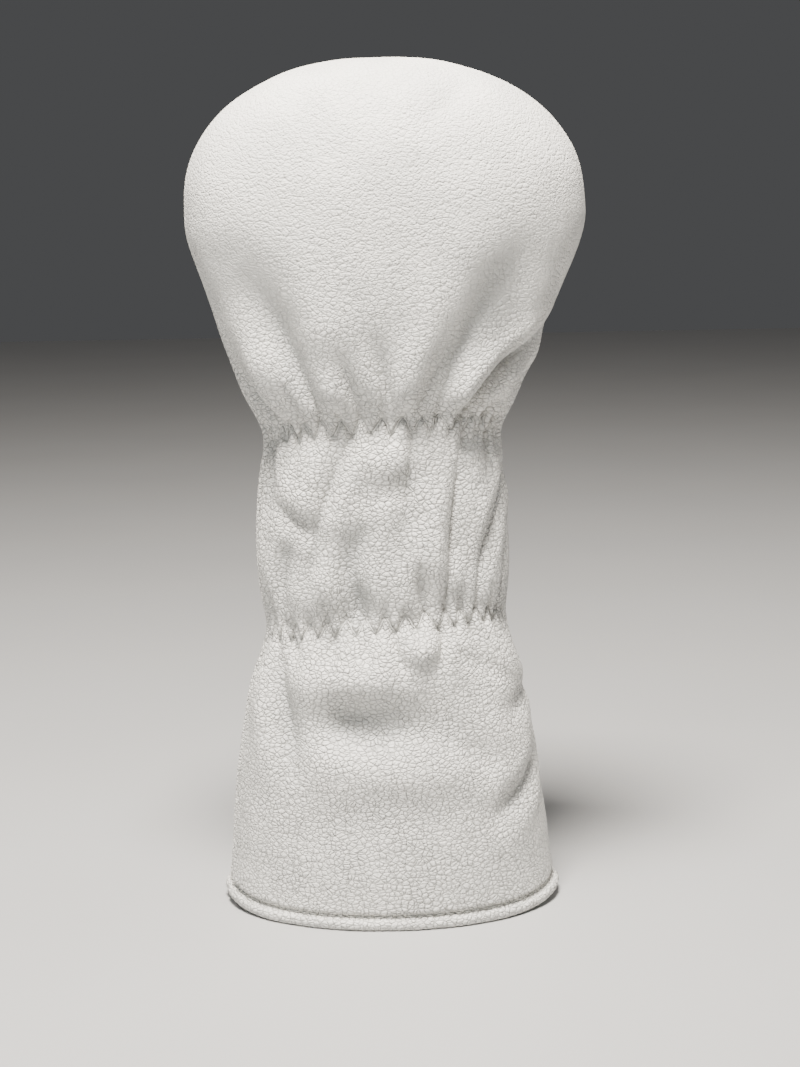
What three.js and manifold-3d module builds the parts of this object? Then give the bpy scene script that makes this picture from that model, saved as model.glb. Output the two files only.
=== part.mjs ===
// Golf driver head cover: a soft leather sock that stands on its open hem.
// Units are millimetres and +Z is up. The origin is the centre of the hem's resting face.
// -Y is the gathered rear face, +Y is the plain front face, and the two meet in a seam in the XZ plane.

import * as THREE from "three";
import { ParametricGeometry } from "three/addons/geometries/ParametricGeometry.js";
import { mergeVertices } from "three/addons/utils/BufferGeometryUtils.js";
import Module from "manifold-3d";

const wasm = await Module();
wasm.setup();

// ---- Driving dimensions ----

const coverHeight = 346;
const crownHalfWidth = 80;
const crownHalfDepth = 43;
const crownWidestHeight = 285;
const domeSquareness = 2.25; // exponent of the crown's superellipse; 2 would be a plain ellipse

const upperGatherHeight = 198;
const lowerGatherHeight = 119;
const gatherStitchWidth = 6; // height of the zigzag row
const gatherStitchPitch = 7; // one full tooth of the zigzag

const leatherThickness = 1.2;
const elasticThickness = 0.9;
const elasticWidth = 10;
const paddingThickness = 2.2;
const liningThickness = 2.2;
const liningSlack = 1; // the lining hangs this far inside the elastic and the padding
const threadRadius = 0.3;
const seamThreadRadius = 0.25;
const threadSides = 5;

const bindingThickness = 1.2;
const bindingOuterHeight = 4.2;
const bindingInnerHeight = 8;
const hemStitchHeight = 5;
const seamBottom = 12; // the side seams' threads start this far above the hem's resting face

const clearance = 0.3; // gap between pieces that lie against each other

// Each station is [height, half width, half depth] of the leather's outer face, up to the crown's widest.
const belowHem = 12; // the surfaces run on below the hem, and are cut off square
const bodyStations = [
  [-belowHem, 70.5, 47],
  [0, 69, 45],
  [20, 67, 43.5],
  [45, 64.5, 42],
  [75, 60, 38.5],
  [100, 55, 35],
  [lowerGatherHeight, 50, 32.5],
  [135, 51.5, 33.5],
  [160, 51.5, 33],
  [182, 50, 31.5],
  [upperGatherHeight, 48.5, 30.5],
  [212, 55, 34],
  [235, 64, 38.5],
  [260, 73.5, 41.5],
  [crownWidestHeight, crownHalfWidth, crownHalfDepth],
];

// ---- The cover's surface ----

// One meridian from below the hem to the top of the crown: x is half width, y is half depth, z is height.
function makeMeridian() {
  const points = bodyStations.map(([z, a, b]) => new THREE.Vector3(a, b, z));
  const domeHeight = coverHeight - crownWidestHeight;
  const domeSteps = 7;
  for (let i = 1; i <= domeSteps; i++) {
    const angle = (Math.PI / 2) * (i / domeSteps);
    const across = i === domeSteps ? 0 : Math.cos(angle) ** (2 / domeSquareness);
    const up = Math.sin(angle) ** (2 / domeSquareness);
    const height = crownWidestHeight + domeHeight * up;
    points.push(new THREE.Vector3(crownHalfWidth * across, crownHalfDepth * across, height));
  }
  const curve = new THREE.CatmullRomCurve3(points, false, "centripetal");
  curve.arcLengthDivisions = 600;
  return curve;
}

const meridian = makeMeridian();
const nearTop = 0.9999; // share of the meridian past which its normal is straight up

// A point at an angle round the cover and a share of the meridian, `inset` inside the leather's outer face.
function wallPoint(angle, share, inset) {
  const m = meridian.getPointAt(share);
  const slope = meridian.getTangentAt(share);
  const c = Math.cos(angle);
  const s = Math.sin(angle);
  const point = new THREE.Vector3(m.x * c, m.y * s, m.z);
  const normal = new THREE.Vector3(
    m.y * c * slope.z,
    m.x * s * slope.z,
    -(m.x * slope.y * s * s + m.y * slope.x * c * c),
  );
  if (share > nearTop) normal.set(0, 0, 1);
  return point.addScaledVector(normal.normalize(), -inset);
}

// The share of the meridian at which it reaches a height.
function shareAtHeight(height) {
  let low = 0;
  let high = 1;
  for (let i = 0; i < 40; i++) {
    const middle = (low + high) / 2;
    if (meridian.getPointAt(middle).z < height) low = middle;
    else high = middle;
  }
  return (low + high) / 2;
}

// ---- Solids ----

function solidOf(geometry) {
  const plain = geometry.clone();
  plain.deleteAttribute("normal");
  plain.deleteAttribute("uv");
  const merged = mergeVertices(plain);
  const corners = merged.index.array;
  const kept = [];
  for (let i = 0; i < corners.length; i += 3) {
    const [a, b, c] = corners.subarray(i, i + 3);
    if (a !== b && b !== c && c !== a) kept.push(a, b, c);
  }
  const mesh = new wasm.Mesh({
    numProp: 3,
    vertProperties: merged.attributes.position.array,
    triVerts: new Uint32Array(kept),
  });
  return new wasm.Manifold(mesh);
}

function geometryOf(solid) {
  const mesh = solid.getMesh();
  const geometry = new THREE.BufferGeometry();
  geometry.setAttribute("position", new THREE.BufferAttribute(mesh.vertProperties, 3));
  geometry.setIndex(new THREE.BufferAttribute(mesh.triVerts, 1));
  geometry.computeVertexNormals();
  return geometry;
}

// Every layer has its rings and sides at the same places, so that the facets of two neighbours never cross.
const sides = 32;
const bodyRingHeights = [
  -belowHem, 0, 22, 50, 78, 102, 114, lowerGatherHeight, 124, 138, 162, 182, 193,
  upperGatherHeight, 203, 213, 228, 246, 265, crownWidestHeight,
];
const domeRings = 7;

function makeRingShares() {
  const shares = bodyRingHeights.map(shareAtHeight);
  shares[0] = 0;
  const domeStart = shares.at(-1);
  for (let i = 1; i <= domeRings; i++) {
    shares.push(domeStart + (1 - domeStart) * (i / domeRings));
  }
  return shares;
}

const ringShares = makeRingShares();

// The whole cover filled in, with its face `inset(height)` inside the leather's outer face.
function filledCover(inset) {
  const rings = ringShares.length;
  const surface = (u, v, target) => {
    const ring = Math.round(v * rings);
    if (ring === 0) {
      target.set(0, 0, -belowHem);
      return;
    }
    const share = ringShares[ring - 1];
    const height = meridian.getPointAt(share).z;
    target.copy(wallPoint(u * 2 * Math.PI, share, inset(height)));
    if (ring === 1) target.z = -belowHem;
  };
  return solidOf(new ParametricGeometry(surface, sides, rings));
}

const boxSpan = 400; // larger than the cover every way

function boxBetween(low, high) {
  const size = high.map((value, i) => value - low[i]);
  const box = new THREE.BoxGeometry(...size);
  box.translate(...low.map((value, i) => value + size[i] / 2));
  return solidOf(box);
}

function heightSlab(low, high) {
  return boxBetween([-boxSpan, -boxSpan, low], [boxSpan, boxSpan, high]);
}

// The rear half lies at y below -gap, the front half at y above gap.
function half(face, gap) {
  return face === "rear"
    ? boxBetween([-boxSpan, -boxSpan, -boxSpan], [boxSpan, -gap, boxSpan])
    : boxBetween([-boxSpan, gap, -boxSpan], [boxSpan, boxSpan, boxSpan]);
}

// A wall between two insets.
function wall(outerInset, innerInset) {
  return filledCover(outerInset).subtract(filledCover(innerInset));
}

const always = (value) => () => value;

// ---- Where the layers lie, as insets from the leather's outer face ----

const underLeather = leatherThickness + clearance;
const liningOverBody = underLeather + elasticThickness + liningSlack;
const liningOverPadding = underLeather + paddingThickness + liningSlack;
const paddingBottom = upperGatherHeight + elasticWidth / 2 + 4;
const liningStepTop = paddingBottom - 2;
const liningStepBottom = liningStepTop - 10;

// The lining lies close to the leather up to the neck, then steps in behind the crown's padding.
function liningInset(height) {
  const rise = THREE.MathUtils.smoothstep(height, liningStepBottom, liningStepTop);
  return THREE.MathUtils.lerp(liningOverBody, liningOverPadding, rise);
}

const seamGap = clearance / 2;
const hemLayersBottom = bindingThickness + clearance;

// ---- Materials ----

function finish(color, roughness, metalness = 0) {
  return new THREE.MeshStandardMaterial({ color, roughness, metalness });
}

const leather = finish(0xe9e7df, 0.55);
const binding = finish(0xe6e4dc, 0.58);
const thread = finish(0xf1f0ea, 0.7);
const elastic = finish(0xf4f4f2, 0.85);
const foam = finish(0xdcdad2, 0.95);
const plush = finish(0x34363b, 1.0);

const cover = new THREE.Group();

function addPiece(name, geometry, material) {
  const mesh = new THREE.Mesh(geometry, material);
  mesh.name = name;
  cover.add(mesh);
}

// ---- Leather panels ----

const leatherWall = wall(always(0), always(leatherThickness))
  .intersect(heightSlab(hemLayersBottom, boxSpan));
for (const face of ["rear", "front"]) {
  addPiece(`${face}_leather_panel`, geometryOf(leatherWall.intersect(half(face, seamGap))), leather);
}

// ---- Plush lining ----

const liningInner = (height) => liningInset(height) + liningThickness;
const liningWall = wall(liningInset, liningInner).intersect(heightSlab(hemLayersBottom, boxSpan));
for (const face of ["rear", "front"]) {
  addPiece(`${face}_lining`, geometryOf(liningWall.intersect(half(face, seamGap))), plush);
}

// ---- Foam padding round the crown ----

const paddingSeamGap = seamThreadRadius + clearance; // leaves room for the seam's thread
const paddingWall = wall(always(underLeather), always(underLeather + paddingThickness))
  .intersect(heightSlab(paddingBottom, boxSpan));
for (const face of ["rear", "front"]) {
  addPiece(`${face}_crown_padding`, geometryOf(paddingWall.intersect(half(face, paddingSeamGap))), foam);
}

// ---- Elastic bands behind the rear panel ----

const elasticWall = wall(always(underLeather), always(underLeather + elasticThickness))
  .intersect(half("rear", paddingSeamGap));
const gathers = { upper: upperGatherHeight, lower: lowerGatherHeight };
for (const [name, height] of Object.entries(gathers)) {
  const band = heightSlab(height - elasticWidth / 2, height + elasticWidth / 2);
  addPiece(`${name}_elastic`, geometryOf(elasticWall.intersect(band)), elastic);
}

// ---- Hem binding, a leather strip folded round the bottom edge ----

const layersInner = liningOverBody + liningThickness;
const bindingOuter = -(clearance + bindingThickness);
const bindingInner = layersInner + clearance + bindingThickness;
const bindingBlock = wall(always(bindingOuter), always(bindingInner))
  .intersect(heightSlab(0, bindingInnerHeight));
const layersSlot = wall(always(-clearance), always(layersInner + clearance))
  .intersect(heightSlab(bindingThickness, boxSpan));
const aboveOutsideFlap = wall(always(bindingOuter - clearance), always(0))
  .intersect(heightSlab(bindingOuterHeight, boxSpan));
const foldedBinding = bindingBlock.subtract(layersSlot).subtract(aboveOutsideFlap);
for (const face of ["rear", "front"]) {
  addPiece(`${face}_hem_binding`, geometryOf(foldedBinding.intersect(half(face, seamGap))), binding);
}

// ---- Threads ----

// A path that goes straight from point to point and has one step to each.
class StraightPath extends THREE.Curve {
  constructor(points) {
    super();
    this.points = points;
  }

  getPoint(t, target = new THREE.Vector3()) {
    const place = t * (this.points.length - 1);
    const from = Math.min(Math.floor(place), this.points.length - 2);
    return target.lerpVectors(this.points[from], this.points[from + 1], place - from);
  }

  getUtoTmapping(u) {
    return u;
  }
}

// A thread from point to point, as a tube of a few sides.
function threadThrough(points, radius) {
  const section = new THREE.Shape();
  for (let i = 0; i < threadSides; i++) {
    const angle = (2 * Math.PI * i) / threadSides;
    const corner = [radius * Math.cos(angle), radius * Math.sin(angle)];
    if (i === 0) section.moveTo(...corner);
    else section.lineTo(...corner);
  }
  section.closePath();
  const settings = { steps: points.length - 1, bevelEnabled: false, extrudePath: new StraightPath(points) };
  return geometryOf(solidOf(new THREE.ExtrudeGeometry(section, settings)));
}

const threadLift = -(clearance + threadRadius); // the threads lie just proud of the leather

// Zigzag rows across the rear face, from seam to seam.
const zigzagReach = 0.93; // share of the half turn that the row covers
for (const [name, height] of Object.entries(gathers)) {
  const station = meridian.getPointAt(shareAtHeight(height));
  const halfGirth = Math.PI * Math.sqrt((station.x ** 2 + station.y ** 2) / 2);
  const teeth = Math.round((halfGirth * zigzagReach) / gatherStitchPitch);
  const points = [];
  for (let i = 0; i <= teeth * 2; i++) {
    const across = (i / (teeth * 2) - 0.5) * zigzagReach;
    const side = i % 2 ? 0.5 : -0.5;
    const share = shareAtHeight(height + side * gatherStitchWidth);
    points.push(wallPoint(Math.PI * (1.5 + across), share, threadLift));
  }
  addPiece(`${name}_zigzag_stitching`, threadThrough(points, threadRadius), thread);
}

// The row that holds the binding, all round the hem; its two ends meet at the left seam.
const hemShare = shareAtHeight(hemStitchHeight);
const hemSteps = 64;
const hemEndGap = 0.012; // radians left between the thread's ends
const hemPoints = [];
for (let i = 0; i <= hemSteps; i++) {
  const turn = hemEndGap + (2 * Math.PI - 2 * hemEndGap) * (i / hemSteps);
  hemPoints.push(wallPoint(Math.PI + turn, hemShare, threadLift));
}
addPiece("hem_stitching", threadThrough(hemPoints, threadRadius), thread);

// A seam's thread runs up one side, over the crown and down the other, straight from ring to ring.
function seamThread(inset) {
  const bottomShare = shareAtHeight(seamBottom);
  const shares = [bottomShare, ...ringShares.filter((share) => share > bottomShare)];
  const pointAt = (angle, share) => wallPoint(angle, share, inset(meridian.getPointAt(share).z));
  const rising = shares.map((share) => pointAt(0, share));
  const falling = shares.slice(0, -1).reverse().map((share) => pointAt(Math.PI, share));
  return threadThrough([...rising, ...falling], seamThreadRadius);
}

const leatherSeamInset = (height) => (leatherThickness + liningInset(height)) / 2;
addPiece("leather_seam_stitching", seamThread(leatherSeamInset), thread);

// The lining's seam thread lies on the lining's inner face.
const liningSeamInset = (height) => liningInner(height) + clearance + 2 * seamThreadRadius;
addPiece("lining_seam_stitching", seamThread(liningSeamInset), thread);

export default cover;
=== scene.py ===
import math

import bpy
import bmesh
import numpy as np
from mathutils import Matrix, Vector, noise
from mathutils.bvhtree import BVHTree


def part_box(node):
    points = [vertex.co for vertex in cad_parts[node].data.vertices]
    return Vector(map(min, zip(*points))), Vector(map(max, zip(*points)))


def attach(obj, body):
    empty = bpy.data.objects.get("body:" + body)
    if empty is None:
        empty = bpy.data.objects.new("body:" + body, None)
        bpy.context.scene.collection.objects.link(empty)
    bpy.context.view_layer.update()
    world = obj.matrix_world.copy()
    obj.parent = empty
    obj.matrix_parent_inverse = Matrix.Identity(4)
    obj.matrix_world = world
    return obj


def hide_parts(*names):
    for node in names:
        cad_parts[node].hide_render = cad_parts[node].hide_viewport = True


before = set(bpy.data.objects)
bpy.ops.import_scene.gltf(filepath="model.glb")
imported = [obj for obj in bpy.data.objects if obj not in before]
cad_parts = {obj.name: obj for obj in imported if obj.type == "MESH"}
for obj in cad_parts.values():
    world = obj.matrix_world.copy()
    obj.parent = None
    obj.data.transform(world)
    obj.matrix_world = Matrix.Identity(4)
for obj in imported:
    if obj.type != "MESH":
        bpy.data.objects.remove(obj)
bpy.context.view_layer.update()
mm = 0.001

# the camera stands a little right of the cover's middle and looks slightly down on it
cameraSetup = {
    "place": (4 * mm, -800 * mm, 300 * mm),
    "target": (4 * mm, 0, 155 * mm),
    "roll": math.radians(-1.0),
    "lens": 66.4,
    "sensor": 36.0,
}


def makeCamera():
    data = bpy.data.cameras.new("camera")
    data.sensor_fit = "VERTICAL"
    data.sensor_height = cameraSetup["sensor"]
    data.lens = cameraSetup["lens"]
    data.clip_start = 0.01
    camera = bpy.data.objects.new("camera", data)
    bpy.context.scene.collection.objects.link(camera)
    place = Vector(cameraSetup["place"])
    look = (Vector(cameraSetup["target"]) - place).to_track_quat("-Z", "Y")
    camera.location = place
    camera.rotation_euler = look.to_euler()
    camera.rotation_euler.rotate_axis("Z", cameraSetup["roll"])
    bpy.context.scene.camera = camera


makeCamera()
print("camera ready")

# the cover's sizes, read from the frame
leatherLow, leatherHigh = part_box("rear_leather_panel")
upperLow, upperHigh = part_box("upper_elastic")
lowerLow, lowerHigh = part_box("lower_elastic")
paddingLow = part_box("rear_crown_padding")[0]
coverTop = leatherHigh.z
upperRow = (upperLow.z + upperHigh.z) / 2
lowerRow = (lowerLow.z + lowerHigh.z) / 2
elasticWidth = upperHigh.z - upperLow.z


def nodeTree(node):
    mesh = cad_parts[node].data
    corners = [vertex.co.copy() for vertex in mesh.vertices]
    faces = [tuple(polygon.vertices) for polygon in mesh.polygons]
    return BVHTree.FromPolygons(corners, faces)


wallTree = nodeTree("rear_leather_panel")
justRear = -0.3 * mm


def halfWidthAt(height):
    hit = wallTree.ray_cast(Vector((1, justRear, height)), Vector((-1, 0, 0)))
    return hit[0].x


def halfDepthAt(height):
    hit = wallTree.ray_cast(Vector((0, -1, height)), Vector((0, 1, 0)))
    return -hit[0].y


def widestHeight():
    heights = np.linspace(upperRow + 40 * mm, coverTop - 20 * mm, 81)
    widths = [halfWidthAt(height) for height in heights]
    return float(heights[int(np.argmax(widths))])


crownWidest = widestHeight()
crownHalfWidth = halfWidthAt(crownWidest)
domeHeight = coverTop - crownWidest
domeSquareness = 2.25

# heights where the wall is measured, as shares of the stretches between hem, rows and widest point
wallStations = [
    (0.0, lowerRow, (0.02, 0.17, 0.38, 0.63, 0.84)),
    (lowerRow, upperRow, (0.0, 0.2, 0.52, 0.8)),
    (upperRow, crownWidest, (0.0, 0.16, 0.43, 0.71, 1.0)),
]


def spline(places, values):
    # cubic through the measured values
    places = np.asarray(places)
    values = np.asarray(values)
    steps = np.diff(places)
    count = len(places)
    system = np.eye(count)
    right = np.zeros(count)
    for i in range(1, count - 1):
        system[i, i - 1:i + 2] = steps[i - 1], 2 * (steps[i - 1] + steps[i]), steps[i]
        slopes = (values[i + 1] - values[i]) / steps[i] - (values[i] - values[i - 1]) / steps[i - 1]
        right[i] = 6 * slopes
    system[-1, -2:] = steps[-1], 2 * steps[-1]  # upright at the top end, where the dome begins
    right[-1] = -6 * (values[-1] - values[-2]) / steps[-1]
    bends = np.linalg.solve(system, right)

    def evaluate(at):
        at = np.clip(at, places[0], places[-1])
        i = np.clip(np.searchsorted(places, at, side="right") - 1, 0, count - 2)
        h = steps[i]
        left = (places[i + 1] - at) / h
        share = (at - places[i]) / h
        bend = (left ** 3 - left) * bends[i] + (share ** 3 - share) * bends[i + 1]
        return left * values[i] + share * values[i + 1] + bend * h ** 2 / 6

    return evaluate


def measureWall():
    heights = []
    for low, high, shares in wallStations:
        heights += [low + (high - low) * share for share in shares]
    widths = [halfWidthAt(height) for height in heights]
    depths = [halfDepthAt(height) for height in heights]
    return spline(heights, widths), spline(heights, depths)


bodyWidth, bodyDepth = measureWall()
print("frame measured")

# on the cover's surface before folding, a place is an angle round the cover, 0 at the rear and growing
# to the right, and a height


def domeShare(height):
    up = np.clip((height - crownWidest) / domeHeight, 0, 1)
    return (1 - up ** domeSquareness) ** (1 / domeSquareness)


def sectionHalves(height):
    share = domeShare(height)
    return bodyWidth(height) * share, bodyDepth(height) * share


# the gathered rows arch up over the rear face and rise to the right
rowArch = {
    "upper": {"height": upperRow, "arch": 5.0 * mm, "rise": 1.5 * mm},
    "lower": {"height": lowerRow, "arch": 4.0 * mm, "rise": 4.5 * mm},
}
archReach = 26 * mm


def rowLift(row, angle):
    facing = np.clip(np.cos(angle), 0, 1)
    return row["arch"] * facing + row["rise"] * np.sin(angle) * facing ** 0.3


def profileHeight(angle, height):
    # the height at which the wall's section is read, so that the waists follow the rows
    shift = 0
    for row in rowArch.values():
        near = np.exp(-((height - row["height"]) / archReach) ** 2)
        shift = shift + rowLift(row, angle) * near
    return height - shift


def sway(height):
    # the cover leans and bulges a little off its middle
    heights = np.array([0, 60, 119, 160, 198, 240, 285, 346]) * mm
    offsets = np.array([-1.8, -3.0, -2.4, -3.4, -2.6, -1.2, 0.2, -0.7]) * mm
    return np.interp(height, heights, offsets)


hemCorner = {"rise": 3.0 * mm, "reach": 45 * mm}  # the hem lifts a little at its two corners


def wallPoint(angle, height):
    a, b = sectionHalves(profileHeight(angle, height))
    x = a * np.sin(angle) + sway(height)
    lift = hemCorner["rise"] * np.sin(angle) ** 8 * np.exp(-(height / hemCorner["reach"]) ** 2)
    return np.stack([x, -b * np.cos(angle), height + lift], axis=-1)


def girthRadius(height):
    a, b = sectionHalves(height)
    return np.sqrt((a ** 2 + b ** 2) / 2)


def makeClimb():
    # distance up the middle of the rear face, from the hem
    heights = np.concatenate([
        np.linspace(0, crownWidest, 200),
        crownWidest + domeHeight * np.sin(np.linspace(0, math.pi / 2, 60)[1:]),
    ])
    depths = sectionHalves(heights)[1]
    lengths = np.hypot(np.diff(heights), np.diff(depths))
    return heights, np.concatenate([[0], np.cumsum(lengths)])


climbHeights, climbLengths = makeClimb()


def climbAt(height):
    return np.interp(height, climbHeights, climbLengths)


# the zigzag rows: teeth across the rear face, each leg a stitch
zigzag = {
    "toothHeight": 6.0 * mm,
    "reach": math.radians(84),
    "teeth": 17,
    "pinch": 1.7 * mm,
    "tent": 2.1 * mm,
    "ripple": 1.2 * mm,
    "waist": 1.6 * mm,
}


def toothCorners(name):
    # angle and height of each stitch hole, a little uneven as hand-guided sewing is
    row = rowArch[name]
    seed = 3 if name == "upper" else 8
    count = zigzag["teeth"] * 2
    corners = []
    for i in range(count + 1):
        angle = zigzag["reach"] * (2 * i / count - 1)
        wobble = Vector((i * 1.7, seed, 0.5))
        angle += math.radians(0.9) * noise.noise(wobble)
        side = 0.5 if i % 2 else -0.5
        height = row["height"] + float(rowLift(row, angle)) + side * zigzag["toothHeight"]
        height += 0.9 * mm * noise.noise(wobble * 1.9)
        corners.append((angle, height))
    return np.array(corners)


teeth = {name: toothCorners(name) for name in rowArch}


hemDitch = {"height": 5.2 * mm, "depth": 1.4 * mm, "reach": 1.2 * mm}


seamShift = {"left": 6 * mm, "right": 4 * mm}  # how far the side seams sit towards the rear and the front


def seamAngles(height):
    depth = sectionHalves(np.minimum(height, crownWidest))[1]
    fade = 1 - np.clip((height - upperRow) / (crownWidest - upperRow), 0, 1) ** 2
    left = np.arcsin(seamShift["left"] * fade / depth)
    right = np.arcsin(seamShift["right"] * fade / depth)
    return -math.pi / 2 + left, math.pi / 2 + right


def bodyRow(face, height, across):
    left, right = seamAngles(height)
    if face == "front":
        left, right = right, left + 2 * math.pi
    angle = left + (right - left) * (across + 1) / 2
    return angle, np.full_like(angle, height)


def domeRow(face, up, across):
    # a square patch carried onto half a disc, so that the crown has no pole
    discX = across * np.sqrt(1 - up ** 2 / 2)
    discZ = up * np.sqrt(1 - across ** 2 / 2)
    radius = np.clip(np.hypot(discX, discZ), 1e-9, 1)
    turn = np.arctan2(discZ, discX)
    n = domeSquareness
    reach = (np.abs(np.cos(turn)) ** n + np.abs(np.sin(turn)) ** n) ** (-1 / n)
    out = reach * np.sin(radius * math.pi / 2)
    z = np.clip(out * np.sin(turn), 0, 1)
    level = np.maximum((1 - z ** n) ** (1 / n), 1e-9)
    angle = np.arcsin(np.clip(out * np.cos(turn) / level, -1, 1))
    if face == "front":
        angle = math.pi + angle
    return angle, crownWidest + domeHeight * z, radius


def rowHeights(spacing, fine):
    # rows crowd together at the stitching and at the hem
    heights = []
    height = leatherLow.z
    while height < crownWidest - spacing / 2:
        heights.append(height)
        offRows = min(abs(height - row["height"]) for row in rowArch.values())
        offHem = abs(height - hemDitch["height"]) + 0.2 * mm
        height += min(spacing, fine + 0.12 * min(offRows, offHem))
    heights.append(crownWidest)
    return heights


def followRows(angle, height):
    # grid lines near a gathered row run along its zigzag
    moved = height.copy()
    for name, row in rowArch.items():
        off = height - row["height"]
        corners = teeth[name]
        lift = rowLift(row, angle)
        stitch = np.interp(angle, corners[:, 0], corners[:, 1]) - row["height"] - lift
        moved += lift * np.exp(-(off / archReach) ** 2)
        moved += stitch * np.clip(1 - np.abs(off) / (9 * mm), 0, 1)
    return moved


def makeGrid(face, columns, spacing, fine, domeRows):
    across = np.linspace(-1, 1, columns)
    rows = []
    for height in rowHeights(spacing, fine):
        angle, level = bodyRow(face, height, across)
        edge = (1 - np.abs(across)) * girthRadius(height) * math.pi / 2
        if face == "rear":
            level = followRows(angle, level)
        rows.append((angle, level, edge))
    for up in np.linspace(0, 1, domeRows + 1)[1:]:
        angle, level, radius = domeRow(face, up, across)
        rows.append((angle, level, (1 - radius) * crownHalfWidth * 1.25))
    angle, height, edge = (np.array(part) for part in zip(*rows))
    return {"face": face, "angle": angle, "height": height, "edge": edge}


def gridNormals(points):
    across = np.gradient(points, axis=1)
    up = np.gradient(points, axis=0)
    normals = np.cross(across, up)
    lengths = np.linalg.norm(normals, axis=-1, keepdims=True)
    normals = normals / np.maximum(lengths, 1e-12)
    # a dome's grid lines run together at its two upper corners, so those take the normal from beside them
    if len(points) > 4:
        for column, inward in ((0, 2), (1, 2), (-2, -3), (-1, -3)):
            normals[-2:, column] = normals[-3, inward]
    return normals


# a fold bows sideways between its two ends, and each line below gives
# (angle at start, angle at end, height at start, height at end, bow, depth, width at start, width at end),
# with angles and bow in degrees and the rest in mm; heights count from the gathered row that rearFolds
# and frontFolds give for the list
crownFolds = [
    (42, 95, 7, 44, -14, 6.5, 3, 5),
    (26, 48, 8, 78, -5, 5.0, 3, 12),
    (14, 22, 8, 40, 1, 3.4, 3, 5),
    (6, -4, 8, 43, 0, 2.6, 2.5, 5),
    (-10, -17, 10, 38, 0, 2.4, 3, 5),
    (-29, -50, 9, 68, 3, 4.4, 3, 12),
    (-54, -76, 4, 28, 0, 3.8, 3, 4.5),
    (55, 62, 6, 16, 0, 1.8, 2.5, 3),
    (-40, -44, 7, 24, 0, 2.2, 2.5, 4),
    (-20, -22, 6, 18, 0, 1.6, 2, 2.5),
    (36, 34, 6, 16, 0, 1.6, 2, 2.5),
    (-20, -33, 112, 136, 3, 0.8, 5, 5),
    (14, 52, 122, 142, -5, 0.9, 5, 4),
]
neckFolds = [
    (30, 42, 9, 78, -2, 3.7, 2.5, 3),
    (15, 15, 78, 41, -2, 2.0, 2.5, 4),
    (-16, -40, 81, 11, -2, 3.0, 3, 4),
    (-13, -13, 8, 31, 0, 2.2, 3, 6),
    (20, 15, 8, 31, 0, 2.6, 3, 6),
    (-32, -62, 41, 53, 0, 2.6, 4, 5),
    (-70, -64, 77, 57, 0, 1.8, 2.5, 4),
    (64, 57, 77, 57, 0, 1.8, 2.5, 4),
    (5, 2, 10, 29, 0, 1.8, 2.5, 4),
    (-56, -54, 5, 27, 0, 2.0, 2.5, 4),
]
skirtFolds = [
    (2, 9, 2, -16, 0, 3.0, 2.2, 3),
    (28, 22, 3, -15, 0, 3.0, 2.2, 3),
    (-54, -43, 1, -13, 0, 3.4, 2.5, 3),
    (-28, -23, 1, -15, 0, 1.6, 2, 3),
    (-9, -8, 1, -13, 0, 1.4, 2, 3),
    (44, 50, 3, -13, 0, 1.6, 2, 3),
    (-55, -34, -15, -63, 0, 5.0, 7, 7),
    (34, 76, -9, -27, 0, 1.6, 3, 4),
    (30, 46, -43, -59, 0, 2.4, 7, 7),
]
# these run on round the side, so they stay deep to their end
sideFolds = [
    (51, 86, 10, 61, -13, 2.7, 2.5, 5),
    (71, 77, 8, 31, 0, 1.8, 2.5, 3),
    (44, 78, -76, -61, 0, 3.2, 6, 5),
    (60, 94, -35, -29, 0, 2.2, 6, 4),
]
plainFolds = [
    (150, 158, 86, 126, 0, 1.5, 5, 10),
    (205, 196, 85, 121, 0, 1.5, 5, 10),
    (128, 140, 71, 9, 2, 1.6, 7, 7),
    (232, 220, 73, 11, -2, 1.6, 7, 7),
    (170, 168, -7, -55, 3, 2.0, 7, 14),
]
foldLineShape = {
    "startShare": 0.45,  # share of its depth that a fold starts with
    "deepest": 0.42,  # how far along it is deepest
    "endShare": 0.12,
    "sideEndShare": 0.8,
    "steps": 14,
}
rearFolds = [(crownFolds, upperRow, "endShare"), (neckFolds, lowerRow, "endShare"),
             (skirtFolds, lowerRow, "endShare"), (sideFolds, lowerRow, "sideEndShare")]
frontFolds = [(plainFolds, lowerRow, "endShare")]

# dents are (angle, height, reach across, reach up, turn, depth), angle and turn in degrees and the rest
# in mm; a bulge has a depth below nothing
dents = [
    (-68, 176, 6, 13, -10, 3.2), (-50, 148, 6, 15, -25, 3.6), (-30, 150, 4, 12, -30, 2.2),
    (-14, 152, 6.5, 16, -22, 4.8), (8, 158, 6, 17, -18, 2.6), (41, 152, 4, 14, 0, 3.0),
    (4, 178, 13, 6, 35, 2.4), (2, 46, 30, 8, 0, 1.0), (-30, 40, 12, 9, 0, 1.4),
    (48, 240, 9, 16, -15, 3.4), (80, 219, 15, 9, 0, 3.0), (-18, 84, 15, 9, 6, 5.4),
    (6, 82, 17, 8, 4, 3.4), (-12, 131, 8, 10, -15, 4.2), (19, 135, 6.5, 10, -15, 2.6),
    (36, 132, 5, 6, 0, 1.6), (15, 113, 8, 7, 0, -5.0), (-12, 101, 26, 8, 0, -3.2),
    (0, 189, 12, 8, 0, -1.6), (24, 152, 6, 24, 0, -2.4), (-28, 138, 6, 12, 0, -2.0),
    (-52, 225, 8, 12, 15, -2.0), (4, 64, 34, 9, 0, -2.4), (66, 222, 9, 6, 20, -1.6),
    (64, 102, 10, 8, -20, -1.6), (-70, 150, 8, 14, 0, -1.2), (10, 215, 5, 12, 0, -1.6),
    (36, 214, 5, 12, 0, -2.2), (-20, 214, 5, 10, 0, -1.6), (-5, 170, 6, 10, -35, -1.6),
    (52, 168, 5, 14, 0, -1.4),
]


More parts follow.
